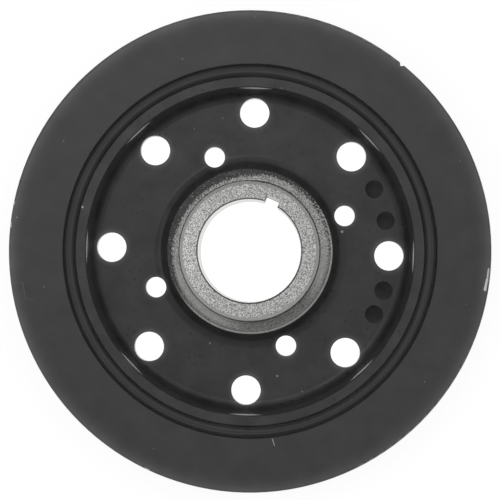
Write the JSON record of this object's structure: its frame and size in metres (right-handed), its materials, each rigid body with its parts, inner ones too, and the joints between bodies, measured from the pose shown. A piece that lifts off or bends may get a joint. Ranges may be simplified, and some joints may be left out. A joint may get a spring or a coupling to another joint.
{
  "type": "harmonic balancer",
  "caption": "Crankshaft vibration damper: a flat outer ring joined by a rubber band to a drilled hub with a keyed bore and a seal journal.",
  "frame": {"origin": "on the bore's axis, in the plane of the inertia ring's front face, on which the damper lies", "axes": "+Z along the bore's axis towards the engine, where the seal journal stands; +X through the large hole between the balance drillings"},
  "size_m": [0.166, 0.166, 0.048],
  "materials": {
    "hub_paint": "satin black paint on cast iron; the boss's end, journal and bore are bare machined metal",
    "rubber": "black rubber, painted over",
    "ring_paint": "satin black paint, worn to bare metal in a few places on the outer edge"
  },
  "bodies": {
    "root": {"hub": "hub_paint", "rubber_ring": "rubber", "inertia_ring": "ring_paint"}
  },
  "joints": []
}
